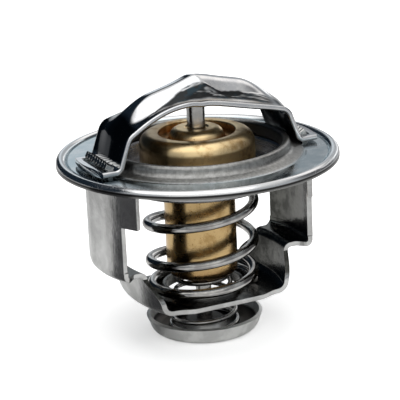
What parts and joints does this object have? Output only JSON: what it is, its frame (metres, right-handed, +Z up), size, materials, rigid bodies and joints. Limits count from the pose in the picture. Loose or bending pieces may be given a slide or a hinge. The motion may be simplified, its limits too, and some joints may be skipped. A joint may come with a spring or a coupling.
{
  "type": "engine coolant thermostat",
  "caption": "Wax-element engine thermostat: ribbed bridge over a round beaded flange, brass element, main valve and coil spring in a stamped frame, and a sprung bypass cup below.",
  "frame": {"origin": "on the axis, in the plane of the bypass cup's lower face", "axes": "+Z up along the piston, from the bypass cup to the bridge; +X along the bridge"},
  "size_m": [0.054, 0.054, 0.0506],
  "materials": {
    "flange_steel": "bright satin",
    "bridge_steel": "bright drawn sheet",
    "frame_steel": "satin",
    "valve_steel": "bright drawn sheet",
    "spring_steel": "dark drawn wire",
    "cup_steel": "brushed",
    "piston_steel": "ground",
    "brass": "drawn, lightly aged",
    "rubber": "matte",
    "white_polymer": "waxy",
    "wax": "waxy, copper filled"
  },
  "bodies": {
    "housing": {"flange": "flange_steel", "bridge": "bridge_steel", "lower_frame": "frame_steel", "piston": "piston_steel", "main_spring": "spring_steel"},
    "element": {"wax_case": "brass", "guide_bush": "brass", "rubber_boot": "rubber", "backup_ring": "white_polymer", "wax_charge": "wax", "main_valve": "valve_steel", "bypass_stem": "piston_steel", "bypass_spring": "spring_steel"},
    "bypass": {"bypass_cup": "cup_steel"}
  },
  "joints": [
    {"name": "element_travel", "type": "slide", "parent": "housing", "child": "element", "axis": [0, 0, -1], "range_m": [0, 0.008], "stiffness_N_per_m": 3000, "springref_m": -0.01, "deforming": ["main_spring"]},
    {"name": "bypass_slide", "type": "slide", "parent": "element", "child": "bypass", "axis": [0, 0, 1], "range_m": [0, 0.003], "stiffness_N_per_m": 1000, "springref_m": -0.005, "deforming": ["bypass_spring"]}
  ]
}
